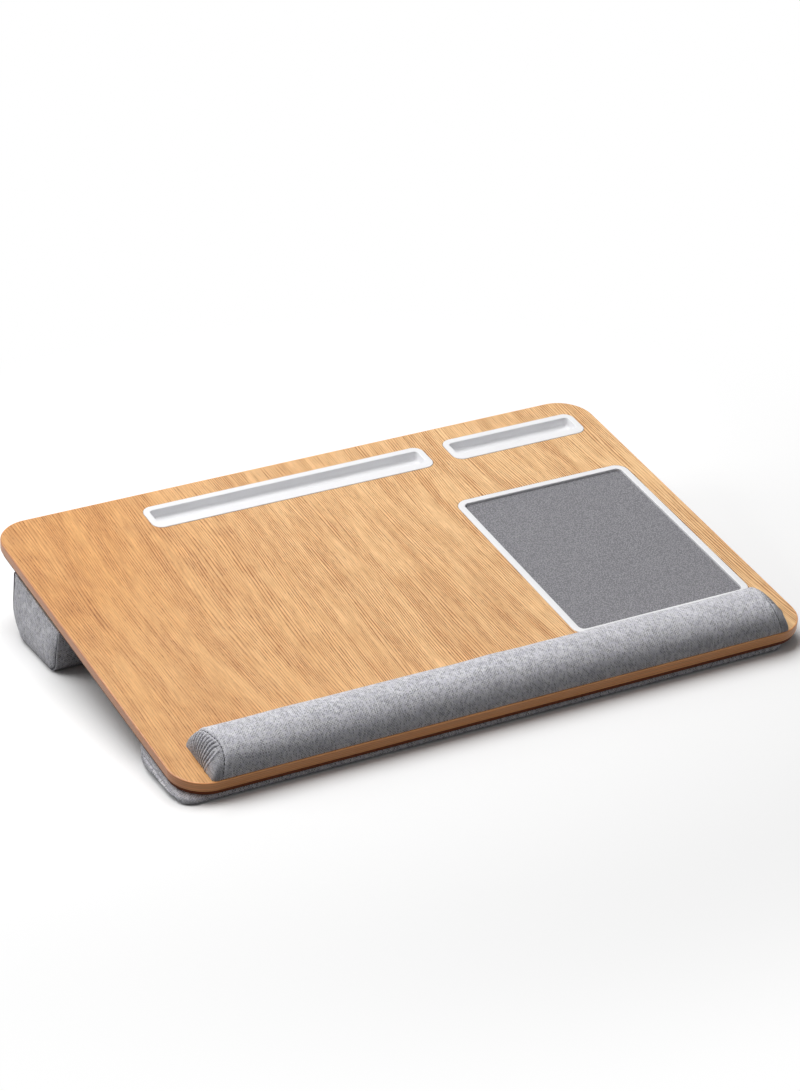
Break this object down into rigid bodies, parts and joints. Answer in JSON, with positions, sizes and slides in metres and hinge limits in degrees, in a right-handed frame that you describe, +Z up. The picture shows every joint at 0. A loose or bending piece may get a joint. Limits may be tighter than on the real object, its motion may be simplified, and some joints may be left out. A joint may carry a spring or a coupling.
{
  "type": "lap desk",
  "caption": "Sloping wood-faced lap desk with padded wrist rest, recessed mouse mat, phone and tablet slots, on a low front cushion and a tall rear cushion.",
  "frame": {"origin": "on the floor, under the middle of the desk's overall width and depth", "axes": "+X to the user's right, +Y away from the user towards the raised back edge, +Z up"},
  "size_m": [0.55, 0.3786, 0.0765],
  "materials": {
    "fibreboard": "raw medium-density fibreboard, cut edges",
    "oak_veneer": "honey-coloured oak veneer with a satin lacquer",
    "oak_edge": "mid-brown wooden edge band, satin",
    "dark_wood": "dark-stained thin board, matt",
    "white_plastic": "satin white moulded plastic",
    "mat_leather": "grey pebbled synthetic leather",
    "mat_foam": "thin black foam sheet",
    "heather_fabric": "heather-grey woven cloth",
    "padding": "soft white padding",
    "strip_plastic": "stiff black plastic sheet",
    "hook_and_loop": "black hook-and-loop pads",
    "backing_cloth": "thin black non-woven cloth"
  },
  "bodies": {
    "cushion_base": {"base_board": "dark_wood", "hook_pads": "hook_and_loop", "front_cushion_cover": "heather_fabric", "front_cushion_filling": "padding", "front_cushion_backing": "backing_cloth", "rear_cushion_cover": "heather_fabric", "rear_cushion_filling": "padding", "rear_cushion_backing": "backing_cloth"},
    "desk_top": {"core_board": "fibreboard", "face_veneer": "oak_veneer", "backing_veneer": "oak_veneer", "edge_band": "oak_edge", "phone_tray": "white_plastic", "tablet_tray": "white_plastic", "mouse_mat_frame": "white_plastic", "mouse_mat": "mat_leather", "mouse_mat_foam": "mat_foam", "wrist_rest_cover": "heather_fabric", "wrist_rest_foam": "padding", "wrist_rest_strip": "strip_plastic", "loop_pads": "hook_and_loop"}
  },
  "joints": [
    {"name": "desk_top_lift", "type": "slide", "parent": "cushion_base", "child": "desk_top", "axis": [0, -0.1564, 0.9877], "range_m": [0, 0.06]}
  ]
}
